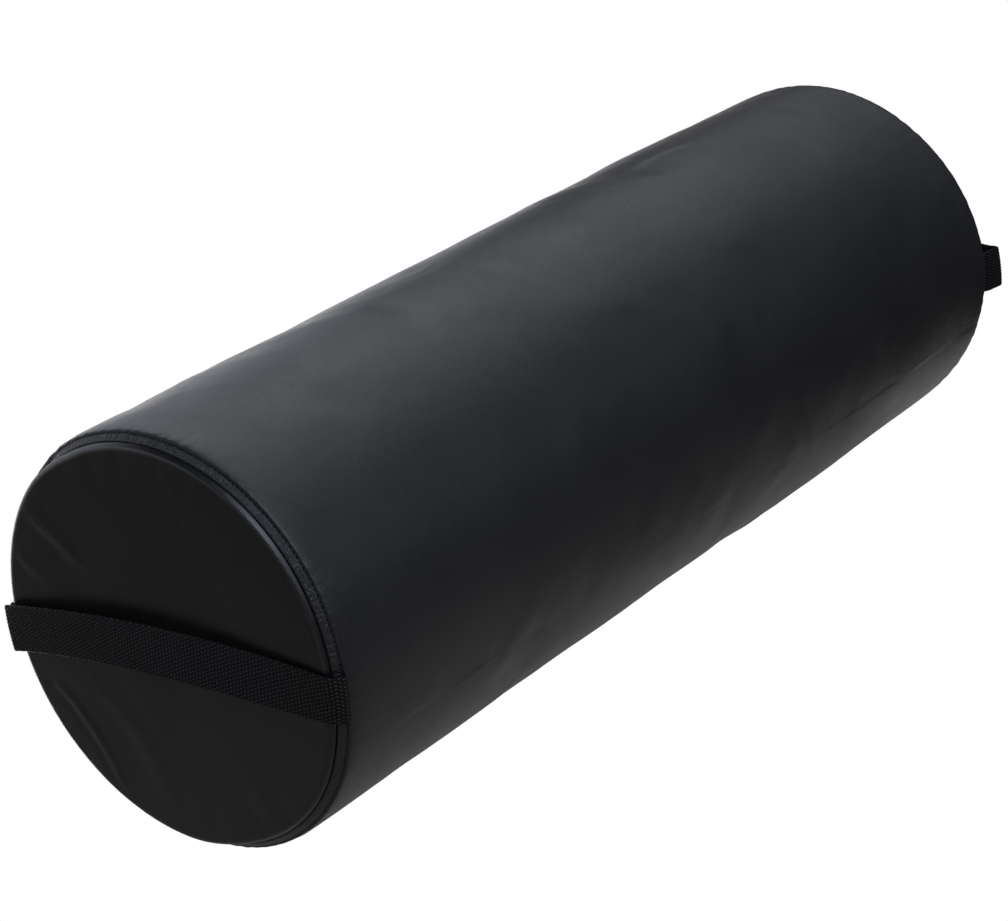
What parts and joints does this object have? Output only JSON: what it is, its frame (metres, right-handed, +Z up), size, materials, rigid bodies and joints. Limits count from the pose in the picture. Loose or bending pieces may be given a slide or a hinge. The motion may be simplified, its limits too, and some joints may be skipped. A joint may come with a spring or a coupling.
{
  "type": "bolster pillow",
  "caption": "Full-round massage bolster: foam cylinder in a sewn synthetic-leather cover, with a webbing carry handle across each end and a zip along the back.",
  "frame": {"origin": "on the floor, under the middle of the bolster", "axes": "+X along the bolster, +Y towards its back, where the zip is, +Z up"},
  "size_m": [0.6638, 0.2316, 0.2273],
  "materials": {
    "barrel_leather": "semi-gloss, fine grain",
    "panel_leather": "matt, fine grain",
    "band_leather": "semi-gloss, puckered",
    "thread": "twisted thread",
    "webbing": "plain-woven webbing",
    "foam": "open-cell foam",
    "zip_tape": "herringbone tape",
    "zip_coil": "nylon coil",
    "zip_metal": "black enamel"
  },
  "bodies": {
    "cover": {"foam_core": "foam", "barrel_cover": "barrel_leather", "end_panel_left": "panel_leather", "end_panel_right": "panel_leather", "rim_band_left": "band_leather", "rim_band_right": "band_leather", "end_seam_stitching_left": "thread", "end_seam_stitching_right": "thread", "topstitching_left": "thread", "topstitching_right": "thread", "barrel_seam_stitching_left": "thread", "barrel_seam_stitching_right": "thread", "handle_left_sewn_end_front": "webbing", "handle_left_sewn_end_back": "webbing", "handle_right_sewn_end_front": "webbing", "handle_right_sewn_end_back": "webbing", "zip_tape_upper": "zip_tape", "zip_tape_lower": "zip_tape", "zip_coil_upper": "zip_coil", "zip_coil_lower": "zip_coil", "zip_stitching": "thread", "zip_top_stop_upper": "zip_metal", "zip_top_stop_lower": "zip_metal", "zip_bottom_stop": "zip_metal"},
    "left_handle": {"handle_left": "webbing"},
    "right_handle": {"handle_right": "webbing"},
    "slider": {"zip_slider": "zip_metal"},
    "pull": {"zip_pull": "zip_metal"}
  },
  "joints": [
    {"name": "handle_left_pull", "type": "slide", "parent": "cover", "child": "left_handle", "axis": [-1, 0, 0], "range_m": [0, 0.025]},
    {"name": "handle_right_pull", "type": "slide", "parent": "cover", "child": "right_handle", "axis": [1, 0, 0], "range_m": [0, 0.025]},
    {"name": "zip_slide", "type": "slide", "parent": "cover", "child": "slider", "axis": [1, 0, 0], "range_m": [0, 0.495]},
    {"name": "zip_pull_swing", "type": "hinge", "parent": "slider", "child": "pull", "pos_m": [-0.2478, 0.11056, 0.153], "axis": [0, -0.342, 0.9397], "range_deg": [0, 170]}
  ]
}
